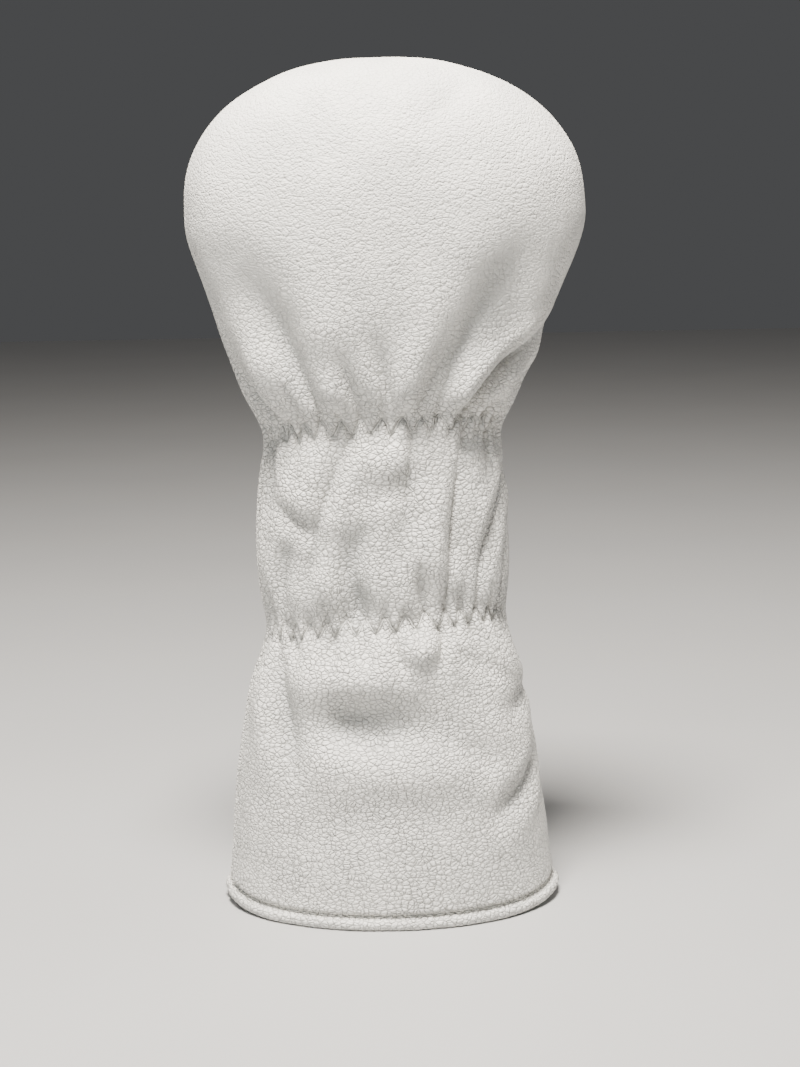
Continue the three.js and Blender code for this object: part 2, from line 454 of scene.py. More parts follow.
def foldLine(fold, row, ending):
    # places along a fold, with its depth and width there
    startAngle, endAngle, startHeight, endHeight, bow, depth, startWidth, endWidth = fold
    shape = foldLineShape
    share = np.linspace(0, 1, shape["steps"] + 1)
    angle = startAngle + (endAngle - startAngle) * share + bow * 4 * share * (1 - share)
    height = row / mm + startHeight + (endHeight - startHeight) * share
    before = np.clip(share / shape["deepest"], 0, 1)
    after = np.clip((share - shape["deepest"]) / (1 - shape["deepest"]), 0, 1)
    growing = shape["startShare"] + (1 - shape["startShare"]) * np.sin(before * math.pi / 2)
    fading = shape[ending] + (1 - shape[ending]) * np.cos(after * math.pi / 2)
    width = startWidth + (endWidth - startWidth) * share
    return np.column_stack([angle, height, depth * growing * fading, width])


def flatten(angle, height):
    # places laid flat: distance round the cover and distance up it
    radius = girthRadius(np.minimum(height, crownWidest))
    return angle * radius, climbAt(height)


def nearPath(path, across, up):
    # distance from a fold's line and the way to it, with the fold's depth and width there
    best = np.full(across.shape, np.inf)
    depth = np.zeros(across.shape)
    width = np.ones(across.shape)
    toward = np.zeros(across.shape + (2,))
    lineAcross, lineUp = flatten(np.radians(path[:, 0]), path[:, 1] * mm)
    for i in range(len(path) - 1):
        start = np.array([lineAcross[i], lineUp[i]])
        run = np.array([lineAcross[i + 1], lineUp[i + 1]]) - start
        length = np.linalg.norm(run)
        dx = across - start[0]
        dy = up - start[1]
        share = np.clip((dx * run[0] + dy * run[1]) / length ** 2, 0, 1)
        offX = dx - share * run[0]
        offY = dy - share * run[1]
        distance = np.hypot(offX, offY)
        closer = distance < best
        best = np.where(closer, distance, best)
        depth = np.where(closer, path[i, 2] + (path[i + 1, 2] - path[i, 2]) * share, depth)
        width = np.where(closer, path[i, 3] + (path[i + 1, 3] - path[i, 3]) * share, width)
        toward = np.where(closer[..., None], np.stack([offX, offY], -1), toward)
    return best, depth * mm, width * mm, toward


# a fold's section: a crease between two shoulders, softer where the fold is wide
foldShape = {
    "crease": 1.25,
    "softCrease": 2.0,
    "softFrom": 3 * mm,
    "softOver": 4 * mm,
    "shoulder": 0.34,
    "shoulderAt": 2.0,
    "shoulderReach": 1.1,
    "pinch": 0.55,
}


def foldField(groups, angle, height):
    across, up = flatten(angle, height)
    lift = np.zeros(across.shape)
    slide = np.zeros(across.shape + (2,))
    lines = [foldLine(fold, row, ending) for folds, row, ending in groups for fold in folds]
    for line in lines:
        distance, depth, width, toward = nearPath(line, across, up)
        ratio = distance / width
        wide = np.clip((width - foldShape["softFrom"]) / foldShape["softOver"], 0, 1)
        crease = np.exp(-ratio ** (foldShape["crease"] * (1 - wide) + foldShape["softCrease"] * wide))
        shoulder = np.exp(-((ratio - foldShape["shoulderAt"]) / foldShape["shoulderReach"]) ** 2)
        lift += depth * (foldShape["shoulder"] * shoulder - crease)
        pull = foldShape["pinch"] * depth / width * np.exp(-ratio ** 2)
        slide -= toward * pull[..., None]
    return lift, slide


def dentField(angle, height):
    across, up = flatten(angle, height)
    lift = np.zeros(across.shape)
    for place, level, reachAcross, reachUp, turn, depth in dents:
        middleAcross, middleUp = flatten(np.radians(place), level * mm)
        dx = across - middleAcross
        dy = up - middleUp
        c, s = math.cos(math.radians(turn)), math.sin(math.radians(turn))
        along = (dx * c + dy * s) / (reachAcross * mm)
        over = (dy * c - dx * s) / (reachUp * mm)
        lift -= depth * mm * np.exp(-along ** 2 - over ** 2)
    return lift


def noiseField(points, size, seed):
    # smooth noise at places, from -1 to 1
    flat = points.reshape(-1, 3) / size
    offset = Vector((seed * 13.1, seed * 7.7, seed * 3.3))
    values = [noise.noise(Vector(place) + offset) for place in flat]
    return np.array(values).reshape(points.shape[:-1])


# the leather beside a gathered row
gather = {
    "fade": math.radians(8),  # the gathers die out towards the side seams
    "valleyReach": 7 * mm,
    "valleyStart": 1.5 * mm,
    "waistReach": 7 * mm,
    "calmReach": 4 * mm,  # lumps stay off the row itself
    "unevenMean": 0.7,
    "unevenSpread": 0.45,
    "unevenBeats": (1.9, 0.83),
    "stretch": 0.25,  # lumps are drawn out up and down
    "lumps": [
        {"size": 9 * mm, "reach": 13 * mm, "height": 2.4},
        {"size": 17 * mm, "reach": 24 * mm, "height": 2.2},
    ],
}


def gatherField(name, angle, height, detail):
    row = rowArch[name]
    corners = teeth[name]
    seed = 2 if name == "upper" else 6
    middle = row["height"] + rowLift(row, angle)
    off = height - middle
    stitch = np.interp(angle, corners[:, 0], corners[:, 1])
    above = height - stitch
    radius = float(girthRadius(row["height"]))
    phase = np.interp(angle, corners[:, 0], np.arange(len(corners)))
    facing = np.clip((math.pi / 2 - np.abs(angle)) / gather["fade"], 0, 1)
    # valleys run up from the tips and down from the feet of the teeth
    wave = np.cos(phase * math.pi)
    ripple = np.where(above > 0, wave, -wave)
    quick, slow = gather["unevenBeats"]
    beats = gather["unevenSpread"] * np.sin(phase * quick + seed) * np.sin(phase * slow + 2 * seed)
    uneven = gather["unevenMean"] + beats
    fading = np.exp(-np.abs(above) / gather["valleyReach"])
    ripple = ripple * uneven * fading * np.clip(np.abs(above) / gather["valleyStart"], 0, 1)
    lift = -zigzag["waist"] * np.exp(-(off / gather["waistReach"]) ** 2)
    along = np.stack([angle * radius, off * gather["stretch"], np.full_like(angle, seed)], -1)
    lumps = 0
    for i, lump in enumerate(gather["lumps"]):
        near = np.exp(-np.abs(off) / lump["reach"])
        lumps = lumps + noiseField(along, lump["size"], seed + i) * near * lump["height"] * mm
    calm = 1 - np.exp(-(off / gather["calmReach"]) ** 2)
    lift = lift + lumps * calm
    if detail:
        lift = lift + ripple * zigzag["ripple"]
        # the thread draws the leather in, sharply, and each tooth stands up as a tent below it
        lift = lift - zigzag["pinch"] * np.exp(-np.abs(above) / zigzag["tent"])
    return lift * facing


def nearStitch(name, angle, height):
    # one at the zigzag's thread, falling away beside it
    corners = teeth[name]
    above = np.abs(height - np.interp(angle, corners[:, 0], corners[:, 1]))
    within = np.abs(angle) < zigzag["reach"]
    return np.exp(-(above / (0.7 * mm)) ** 2) * within


seamValley = {
    "depth": 1.8 * mm,
    "reach": 1.6 * mm,
    "pillow": 0.5 * mm,  # the leather swells a little beside the seam
    "pillowAt": 4 * mm,
    "pillowReach": 3 * mm,
}
panelShape = {
    "slideFade": 15 * mm,  # folds draw the leather sideways only below the widest height
    "heldReach": 6 * mm,  # the side seams hold the leather from lifting
    "heldLift": 0.25,
    "lumps": [{"size": 34 * mm, "seed": 4, "height": 0.9}, {"size": 15 * mm, "seed": 5, "height": 0.3}],
    "lumpsFrom": 20 * mm,
    "leastLumps": 0.2,
    "hemReach": 25 * mm,  # the bound hem is smooth
}
# painted shade beside the threads: its reach, and how dark it is at the seam and at the hem
stitchShadeSetup = {"reach": 0.8 * mm, "seam": 0.7, "hem": 0.6}


def foldedPanel(grid, detail=True):
    angle, height = grid["angle"], grid["height"]
    rear = grid["face"] == "rear"
    lift, slide = foldField(rearFolds if rear else frontFolds, angle, height)
    inBody = np.clip((crownWidest - height) / panelShape["slideFade"], 0, 1)
    held = np.clip(grid["edge"] / panelShape["heldReach"], 0, 1)
    slide = slide * (inBody * held)[..., None]
    movedAngle = angle + slide[..., 0] / girthRadius(np.minimum(height, crownWidest))
    movedHeight = np.maximum(height + slide[..., 1], leatherLow.z)
    place = wallPoint(movedAngle, movedHeight)
    if rear:
        lift += dentField(angle, height)
    fold = lift.copy()
    if rear:
        for name in rowArch:
            lift += gatherField(name, angle, height, detail)
    lift *= panelShape["heldLift"] + (1 - panelShape["heldLift"]) * held
    soft = 0
    for lump in panelShape["lumps"]:
        soft = soft + noiseField(place, lump["size"], lump["seed"]) * lump["height"] * mm
    lift += soft * np.clip(height / panelShape["lumpsFrom"], panelShape["leastLumps"], 1)
    lift *= np.clip(height / panelShape["hemReach"], 0, 1)
    if detail:
        away = grid["edge"]
        beside = (away - seamValley["pillowAt"]) / seamValley["pillowReach"]
        lift -= seamValley["depth"] * np.exp(-(away / seamValley["reach"]) ** 2)
        lift += seamValley["pillow"] * np.exp(-beside ** 2)
        lift -= hemDitch["depth"] * np.exp(-((height - hemDitch["height"]) / hemDitch["reach"]) ** 2)
    normals = gridNormals(place)
    made = place + normals * lift[..., None]
    # painted shade along the seam's valley, the hem's ditch and the zigzag threads
    stitchShade = np.exp(-(grid["edge"] / stitchShadeSetup["reach"]) ** 2) * stitchShadeSetup["seam"]
    stitchShade += np.exp(-((height - hemDitch["height"]) / stitchShadeSetup["reach"]) ** 2) * stitchShadeSetup["hem"]
    if rear:
        for name in rowArch:
            stitchShade += nearStitch(name, angle, height)
    return {"points": made, "normals": gridNormals(made), "fold": fold, "stitchShade": np.clip(stitchShade, 0, 1)}


def gridObject(name, points):
    # a sheet whose corners lie on a grid of points
    rows, columns = points.shape[:2]
    mesh = bpy.data.meshes.new(name)
    form = bmesh.new()
    bmesh.ops.create_grid(form, x_segments=columns - 1, y_segments=rows - 1, size=1)
    form.to_mesh(mesh)
    form.free()
    mesh.vertices.foreach_set("co", points.reshape(-1))
    mesh.polygons.foreach_set("use_smooth", np.ones(len(mesh.polygons), bool))
    mesh.update()
    piece = bpy.data.objects.new(name, mesh)
    bpy.context.scene.collection.objects.link(piece)
    return piece


def thicken(piece, thickness):
    modifier = piece.modifiers.new("thickness", "SOLIDIFY")
    modifier.thickness = thickness
    modifier.offset = -1


def keep(piece, slot, *nodes):
    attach(piece, "root")
    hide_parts(*nodes)


leatherSetup = {
    "columns": 181,
    "spacing": 2.1 * mm,
    "fine": 0.28 * mm,
    "domeRows": 44,
    "thickness": 1.1 * mm,
    "stretchFrom": 175 * mm,  # the grain is stretched ever smoother from here up
    "stretchOver": 125 * mm,
}


def setAttribute(piece, name, values):
    attribute = piece.data.attributes.new(name, "FLOAT", "POINT")
    attribute.data.foreach_set("value", values.reshape(-1))


def makeLeather(face):
    setup = leatherSetup
    grid = makeGrid(face, setup["columns"], setup["spacing"], setup["fine"], setup["domeRows"])
    panel = foldedPanel(grid)
    name = face + "Leather"
    piece = gridObject(name, panel["points"])
    # the depth of the folds and dents, which darkens the leather's colour as painted shade
    setAttribute(piece, "foldDepth", panel["fold"] / mm)
    # the painted shade beside the threads, for the leather's colour
    setAttribute(piece, "stitchShade", panel["stitchShade"])
    stretched = np.clip((grid["height"] - setup["stretchFrom"]) / setup["stretchOver"], 0, 1)
    setAttribute(piece, "stretched", stretched ** 2 * (3 - 2 * stretched))
    thicken(piece, setup["thickness"])
    keep(piece, "leather", face + "_leather_panel")
    print(name, "made", panel["points"].shape)
    return piece, grid, panel


leatherPieces = {face: makeLeather(face) for face in ("rear", "front")}


def layerPoints(panel, inset):
    # a layer under the leather, offset from its folded face
    return panel["points"] - panel["normals"] * inset


innerSetup = {"columns": 91, "spacing": 2.8 * mm, "fine": 0.9 * mm, "domeRows": 30}
liningSetup = {
    "body": 4.7 * mm,  # how far in it lies, below and above the step
    "crown": 5.1 * mm,
    "stepLow": 195 * mm,
    "stepHigh": 205 * mm,
    "thickness": 2.0 * mm,
}
paddingSetup = {"inset": 1.9 * mm, "thickness": 2.1 * mm, "sideTrim": 4, "topTrim": 3}  # trims in grid lines
elasticSetup = {"inset": 2.95 * mm, "thickness": 0.7 * mm, "rows": 15, "columns": 121, "reach": 0.92}


def makeInnerLayers(face):
    setup = innerSetup
    grid = makeGrid(face, setup["columns"], setup["spacing"], setup["fine"], setup["domeRows"])
    panel = foldedPanel(grid, detail=False)
    step = (grid["height"] - liningSetup["stepLow"]) / (liningSetup["stepHigh"] - liningSetup["stepLow"])
    step = np.clip(step, 0, 1)
    inset = liningSetup["body"] + (liningSetup["crown"] - liningSetup["body"]) * step
    lining = gridObject(face + "Lining", layerPoints(panel, inset[..., None]))
    thicken(lining, liningSetup["thickness"])
    keep(lining, "plush", face + "_lining")

    inCrown = grid["height"].min(axis=1) >= paddingLow.z
    points = layerPoints(panel, paddingSetup["inset"])[inCrown]
    # the padding stops short of the seam
    side = paddingSetup["sideTrim"]
    points = points[:-paddingSetup["topTrim"], side:-side]
    padding = gridObject(face + "CrownPadding", points)
    thicken(padding, paddingSetup["thickness"])
    keep(padding, "foam", face + "_crown_padding")
    print(face, "lining and padding made")
    return {"lining": lining, "padding": padding, "panel": panel, "grid": grid}


def makeElastic(name):
    setup = elasticSetup
    row = rowArch[name]
    across = np.linspace(-setup["reach"], setup["reach"], setup["columns"])
    left, right = seamAngles(row["height"])
    angle = left + (right - left) * (across + 1) / 2
    offsets = np.linspace(-elasticWidth / 2, elasticWidth / 2, setup["rows"])
    angles = np.tile(angle, (setup["rows"], 1))
    heights = row["height"] + rowLift(row, angles) + offsets[:, None]
    edge = np.minimum(angles - left, right - angles) * girthRadius(row["height"])
    panel = foldedPanel({"face": "rear", "angle": angles, "height": heights, "edge": edge}, detail=False)
    piece = gridObject(name + "Elastic", layerPoints(panel, setup["inset"]))
    thicken(piece, setup["thickness"])
    keep(piece, "elastic", name + "_elastic")
    return piece


def startForm():
    # what the threads and the hem binding are swept in
    form = bmesh.new()
    form.verts.layers.float.new("run")
    form.verts.layers.float.new("turn")
    return form


def addSweep(form, sections, runs):
    # closed sections, one after another along a path, joined and capped
    count, sides = sections.shape[:2]
    made = bmesh.ops.create_grid(form, x_segments=sides, y_segments=count - 1, size=1)["verts"]
    runLayer = form.verts.layers.float["run"]
    turnLayer = form.verts.layers.float["turn"]
    for index, vertex in enumerate(made):
        ring, side = divmod(index, sides + 1)
        vertex.co = sections[ring, side % sides]
        vertex[runLayer] = runs[ring]
        vertex[turnLayer] = side / sides
    bmesh.ops.remove_doubles(form, verts=made, dist=1e-7)


def formObject(name, form):
    ends = [edge for edge in form.edges if edge.is_boundary]
    bmesh.ops.holes_fill(form, edges=ends, sides=0)
    bmesh.ops.recalc_face_normals(form, faces=form.faces)
    mesh = bpy.data.meshes.new(name)
    form.to_mesh(mesh)
    form.free()
    mesh.polygons.foreach_set("use_smooth", np.ones(len(mesh.polygons), bool))
    piece = bpy.data.objects.new(name, mesh)
    bpy.context.scene.collection.objects.link(piece)
    return piece


def tubeSections(path, radius, sides):
    # round sections across a path, drawn in at its two tips
    path = np.asarray(path)
    ahead = np.gradient(path, axis=0)
    ahead /= np.linalg.norm(ahead, axis=1, keepdims=True)
    aside = np.cross(ahead, np.array([0.31, 0.17, 0.93]))
    aside /= np.linalg.norm(aside, axis=1, keepdims=True)
    upward = np.cross(aside, ahead)
    turns = np.linspace(0, 2 * math.pi, sides, endpoint=False)
    ring = (np.cos(turns)[None, :, None] * aside[:, None, :]
            + np.sin(turns)[None, :, None] * upward[:, None, :])
    size = np.full(len(path), radius)
    size[[0, -1]] = radius * threadSetup["tip"]
    runs = np.concatenate([[0], np.cumsum(np.linalg.norm(np.diff(path, axis=0), axis=1))]) / mm
    return path[:, None, :] + ring * size[:, None, None], runs


def placeOn(made, angles, heights):
    # points and normals on a finished panel, read between its grid lines
    grid, panel = made
    rows, columns = grid["height"].shape
    spots, directions = [], []
    for angle, height in zip(np.atleast_1d(angles), np.atleast_1d(heights)):
        nearRow = int(np.argmin(np.abs(grid["height"][:, columns // 2] - height)))
        column = np.interp(angle, grid["angle"][nearRow], np.arange(columns))
        left = int(min(column, columns - 2))
        share = column - left
        levels = grid["height"][:, left] * (1 - share) + grid["height"][:, left + 1] * share
        row = np.interp(height, levels, np.arange(rows))
        low = int(min(row, rows - 2))
        rise = row - low
        weights = np.outer([1 - rise, rise], [1 - share, share])
        patch = (slice(low, low + 2), slice(left, left + 2))
        spots.append((panel["points"][patch] * weights[..., None]).sum(axis=(0, 1)))
        directions.append((panel["normals"][patch] * weights[..., None]).sum(axis=(0, 1)))
    return np.array(spots), np.array(directions)


threadSetup = {
    "radius": 0.3 * mm,
    "seamRadius": 0.25 * mm,
    "sides": 6,
    "tip": 0.45,
    "legSteps": 7,
    "sink": 0.35 * mm,  # into the leather at a stitch's ends
    "ride": 0.28 * mm,  # above it at the stitch's middle
    "bow": 0.6,
}


def stitchPath(made, startPlace, endPlace, steps):
    share = np.linspace(0, 1, steps)
    angles = startPlace[0] + (endPlace[0] - startPlace[0]) * share
    heights = startPlace[1] + (endPlace[1] - startPlace[1]) * share
    spots, directions = placeOn(made, angles, heights)
    bow = np.sin(share * math.pi) ** threadSetup["bow"]
    ride = -threadSetup["sink"] + (threadSetup["sink"] + threadSetup["ride"]) * bow
    # a taut thread bridges the small hollows under it
    straight = spots[:1] + (spots[-1:] - spots[:1]) * share[:, None]
    over = np.maximum(((straight - spots) * directions).sum(axis=1), 0)
    return spots + directions * (ride + over)[:, None]


def makeZigzag(name, made):
    setup = threadSetup
    form = startForm()
    corners = teeth[name]
    for i in range(len(corners) - 1):
        path = stitchPath(made, corners[i], corners[i + 1], setup["legSteps"])
        addSweep(form, *tubeSections(path, setup["radius"], setup["sides"]))
    piece = formObject(name + "ZigzagStitching", form)
    keep(piece, "thread", name + "_zigzag_stitching")
    return piece


hemStitch = {"pitch": 3.5 * mm, "length": 2.8 * mm, "start": 0.1, "steps": 5}


def makeHemStitching(panels):
    setup = threadSetup
    form = startForm()
    for face, made in panels.items():
        angles = made[0]["angle"][0]
        left, right = angles[0], angles[-1]
        girth = (right - left) * girthRadius(hemDitch["height"])
        count = int(girth / hemStitch["pitch"])
        for i in range(count):
            first = i + hemStitch["start"]
            last = first + hemStitch["length"] / hemStitch["pitch"]
            start = left + (right - left) * first / count
            end = left + (right - left) * last / count
            level = hemDitch["height"]
            path = stitchPath(made, (start, level), (end, level), hemStitch["steps"])
            addSweep(form, *tubeSections(path, setup["radius"], setup["sides"]))
    piece = formObject("hemStitching", form)
    keep(piece, "thread", "hem_stitching")
    return piece


# the seam threads run inside, up one side, over the crown and down the other
seamSetup = {"leather": {"inset": 2.2 * mm, "node": "leather_seam_stitching", "bottom": 12 * mm},
             "lining": {"inset": 7.1 * mm, "node": "lining_seam_stitching", "bottom": 12 * mm}}


def makeSeamStitching(name, layer):
    setup = seamSetup[name]
    points = layerPoints(layer["panel"], setup["inset"])
    heights = layer["grid"]["height"][:, 0]
    usable = heights > setup["bottom"]
    path = np.concatenate([points[usable, 0], points[-1, 1:-1], points[usable, -1][::-1]])
    form = startForm()
    addSweep(form, *tubeSections(path[::2], threadSetup["seamRadius"], threadSetup["sides"]))
    piece = formObject(name + "SeamStitching", form)
    keep(piece, "thread", setup["node"])
    return piece


# the binding's section: distance out from the leather's face, and height, in mm
bindingSection = [
    (0.1, 4.3), (0.9, 4.5), (1.7, 3.9), (2.1, 2.9), (2.1, 1.8), (1.7, 0.8), (0.9, 0.15),
    (-0.2, 0.0), (-3.0, 0.0), (-5.8, 0.0), (-7.0, 0.4), (-7.7, 1.4), (-7.8, 3.0), (-7.8, 7.6),
    (-7.3, 8.2), (-6.8, 7.6), (-6.7, 3.0), (-6.2, 1.6), (-3.0, 1.25), (-0.3, 1.3), (-0.1, 2.6),
]
bindingShape = {
    "drawnIn": 0.9,  # at its two ends, where the seam pulls
    "drawnReach": 1.6 * mm,
    "pucker": 0.12,
    "lump": 0.35,
    "lumpSize": 11 * mm,
    "lumpSeed": 9,
}


def makeBinding(face, made):
    grid = made[0]
    columns = grid["angle"].shape[1]
    # plain wall places at the hem, without the ditch or the seam's valley
    angle = np.tile(grid["angle"][0], (2, 1))
    level = np.array([[0.0] * columns, [2 * mm] * columns])
    base = wallPoint(angle, level)
    normals = gridNormals(base)[0]
    foot = base[0]
    normals[:, 2] = 0
    normals /= np.linalg.norm(normals, axis=1, keepdims=True)
    section = np.array(bindingSection) * mm
    runs = np.concatenate([[0], np.cumsum(np.linalg.norm(np.diff(foot, axis=0), axis=1))])
    fromEnd = np.minimum(runs, runs[-1] - runs)
    shape = bindingShape
    drawnIn = shape["drawnIn"] * mm * np.exp(-(fromEnd / shape["drawnReach"]) ** 2)
    pucker = shape["pucker"] * mm * np.cos(runs / hemStitch["pitch"] * 2 * math.pi)
    lumpPlaces = foot * np.array([1, 1, 0]) + 0.3
    lumps = noiseField(lumpPlaces, shape["lumpSize"], shape["lumpSeed"]) * shape["lump"] * mm
    outside = np.where(section[:, 0] > 0, 1, 0)
    atTop = np.where(section[:, 1] > 4 * mm, 1, 0)
    outward = section[None, :, 0] + outside[None, :] * (lumps + pucker - drawnIn)[:, None]
    rise = section[None, :, 1] + atTop[None, :] * pucker[:, None]
    points = foot[:, None, :] + normals[:, None, :] * outward[..., None]
    points[..., 2] += rise
    form = startForm()
    addSweep(form, points, runs / mm)
    piece = formObject(face + "HemBinding", form)
    keep(piece, "binding", face + "_hem_binding")
    return piece


panels = {face: (grid, panel) for face, (piece, grid, panel) in leatherPieces.items()}
layers = {face: makeInnerLayers(face) for face in ("rear", "front")}
elastics = [makeElastic(name) for name in rowArch]
bindings = [makeBinding(face, panels[face]) for face in panels]
threads = [makeZigzag(name, panels["rear"]) for name in rowArch]
threads.append(makeHemStitching(panels))
threads += [makeSeamStitching(name, layers["rear"]) for name in seamSetup]
print("layers, elastics, binding and threads made")


class Signal:
    # a node's output, which sums and products can be written with
    def __init__(self, finish, socket):
        self.finish = finish
        self.socket = socket

    def sum(self, operation, first, second=None):
        inputs = {0: first} if second is None else {0: first, 1: second}
        return self.finish.node("ShaderNodeMath", {"operation": operation}, inputs).out(0)

    def __add__(self, other):
        return self.sum("ADD", self, other)

    def __radd__(self, other):
        return self.sum("ADD", other, self)

    def __sub__(self, other):
        return self.sum("SUBTRACT", self, other)

    def __rsub__(self, other):
        return self.sum("SUBTRACT", other, self)

    def __mul__(self, other):
        return self.sum("MULTIPLY", self, other)

    def __rmul__(self, other):
        return self.sum("MULTIPLY", other, self)

    def __truediv__(self, other):
        return self.sum("DIVIDE", self, other)

    def __pow__(self, other):
        return self.sum("POWER", self, other)

    def clamp(self):
        return self.sum("MINIMUM", self.sum("MAXIMUM", self, 0.0), 1.0)

    def sine(self):
        return self.sum("SINE", self)


class Finish:
    def __init__(self, name, **constants):
        self.material = bpy.data.materials.new(name)
        self.material.use_nodes = True
        self.tree = self.material.node_tree
        self.shader = self.tree.nodes["Principled BSDF"]
        for socket, value in constants.items():
            self.shader.inputs[socket.replace("_", " ")].default_value = value

    def node(self, kind, settings=None, inputs=None):
        made = self.tree.nodes.new(kind)
        for setting, value in (settings or {}).items():
            setattr(made, setting, value)
        for socket, value in (inputs or {}).items():
            if isinstance(value, Signal):
                self.tree.links.new(value.socket, made.inputs[socket])
            else:
                made.inputs[socket].default_value = value
        return Made(self, made)

    def coords(self, scale=(1, 1, 1)):
        place = self.node("ShaderNodeTexCoord").out("Object")
        return self.node("ShaderNodeMapping", {}, {"Vector": place, "Scale": scale}).out("Vector")

    def noise(self, vector, scale, detail=2.0, roughness=0.5):
        inputs = {"Vector": vector, "Scale": scale, "Detail": detail, "Roughness": roughness}
        return self.node("ShaderNodeTexNoise", {}, inputs)

    def warped(self, vector, scale, amount):
        # moves places about by a coloured noise
        color = self.noise(vector, scale, 1.0).out("Color")
        centred = self.node("ShaderNodeVectorMath", {"operation": "SUBTRACT"}, {0: color, 1: (0.5, 0.5, 0.5)})
        inputs = {0: centred.out(0), "Scale": amount}
        scaled = self.node("ShaderNodeVectorMath", {"operation": "SCALE"}, inputs)
        return self.node("ShaderNodeVectorMath", {"operation": "ADD"}, {0: vector, 1: scaled.out(0)}).out(0)

    def cells(self, vector, scale, feature="DISTANCE_TO_EDGE"):
        inputs = {"Vector": vector, "Scale": scale, "Randomness": 1.0}
        return self.node("ShaderNodeTexVoronoi", {"feature": feature}, inputs)

    def attribute(self, name):
        return self.node("ShaderNodeAttribute", {"attribute_name": name}).out("Fac")

    def between(self, factor, first, second):
        # a mix of two colours
        inputs = {0: factor, 6: first, 7: second}
        return self.node("ShaderNodeMix", {"data_type": "RGBA"}, inputs).out(2)

    def step(self, value, low, high, outLow=0.0, outHigh=1.0):
        inputs = {"Value": value, "From Min": low, "From Max": high, "To Min": outLow, "To Max": outHigh}
        return self.node("ShaderNodeMapRange", {"interpolation_type": "SMOOTHSTEP"}, inputs).out(0)

    def bump(self, height, distance):
        inputs = {"Height": height, "Distance": distance, "Strength": 1.0}
        normal = self.node("ShaderNodeBump", {}, inputs).out("Normal")
        self.tree.links.new(normal.socket, self.shader.inputs["Normal"])

    def feed(self, socket, signal):
        self.tree.links.new(signal.socket, self.shader.inputs[socket])


class Made:
    def __init__(self, finish, node):
        self.finish = finish
        self.node = node

    def out(self, name):
        return Signal(self.finish, self.node.outputs[name])


def gray(value):
    return (value, value, value, 1)


leatherLook = {
    "light": (0.800, 0.785, 0.745, 1),
    # deep: the colour of the painted shade in the folds and dents, and also the tone of the random patches
    "deep": (0.470, 0.475, 0.462, 1),
    # crease: the colour of the painted shade in the pebbles' grooves, along the wrinkle lines and beside the
    # threads
    "crease": (0.300, 0.300, 0.285, 1),
    "wrinkle": 170.0,  # cells to the metre
    "pebble": 500.0,
    "fine": 1150.0,
    "stretch": (0.90, 0.90, 1.12),
    "relief": 1.0 * mm,
    "warpScale": 130.0,
    "warp": 0.0024,
    "pores": 2600.0,
    "patches": 38.0,
    "boldness": 70.0,
    "grooveWidth": 0.22,
    "seamWidth": 0.12,
    "crownCalm": 0.68,  # how much of the pebbling is stretched away over the crown
    # how dark the painted shade is in the pebbles' grooves, along the wrinkle lines and beside the threads
    "grooveShadeStrength": 0.44,
    "wrinkleShadeStrength": 0.18,
    "stitchShadeStrength": 0.6,
}


def leatherFinish(name, light, relief):
    look = leatherLook
    finish = Finish(name, Specular_IOR_Level=0.42, IOR=1.48)
    place = finish.coords(look["stretch"])
    loose = finish.warped(place, look["warpScale"], look["warp"])
    wrinkle = finish.cells(loose, look["wrinkle"]).out("Distance")
    pebble = finish.cells(loose, look["pebble"], "F1").out("Distance")
    groove = finish.cells(loose, look["pebble"]).out("Distance")
    fine = finish.cells(loose, look["fine"], "F1").out("Distance")
    pores = finish.noise(place, look["pores"], 2.0).out("Fac")
    patches = finish.noise(place, look["patches"], 2.0).out("Fac")
    # grain is bold on the skirt and neck, and stretched nearly smooth over the crown
    stretched = finish.attribute("stretched")
    bold = finish.step(finish.noise(place, look["boldness"], 1.0).out("Fac"), 0.3, 0.75, 0.7, 1.0)
    rounded = 1 - (1 - (groove / look["grooveWidth"]).clamp()) ** 2
    dome = ((1 - pebble * pebble * 1.6) * 0.42 + rounded * 0.5) * (1 - stretched * look["crownCalm"]) * bold
    knob = (1 - fine * fine * 1.5) * 0.22
    seam = (wrinkle / look["seamWidth"]).clamp()
    fold = (1 - (1 - seam) ** 2) * (1 - stretched) * 0.16
    finish.bump(dome + knob + fold + pores * 0.06, relief)
    # painted shade: the leather darkens towards the deep colour with the depth of its folds and dents
    deep = finish.step(finish.attribute("foldDepth"), -8.0, 1.0)
    tone = finish.between(deep, look["deep"], light)
    tone = finish.between(finish.step(patches, 0.3, 0.7, 0.0, 0.3), tone, look["deep"])
    # painted shade: the pebbles' grooves and the wrinkle lines are darkened towards the crease colour, less
    # over the crown
    line = 1 - finish.step(groove, 0.0, 0.13)
    wrinkleShadeLine = 1 - finish.step(wrinkle, 0.0, 0.05)
    # painted shade beside the seam, the hem and the zigzag threads
    stitchShade = finish.attribute("stitchShade")
    grainShade = (line * look["grooveShadeStrength"] + wrinkleShadeLine * look["wrinkleShadeStrength"]) * (1 - stretched * 0.75)
    # all the painted shade of the grooves, wrinkle lines and threads, mixed towards the crease colour
    lines = (grainShade + stitchShade * look["stitchShadeStrength"]).clamp()
    finish.feed("Base Color", finish.between(lines, tone, look["crease"]))
    finish.feed("Roughness", finish.step(dome + pores * 0.3, -0.4, 1.2, 0.70, 0.42))
    return finish.material


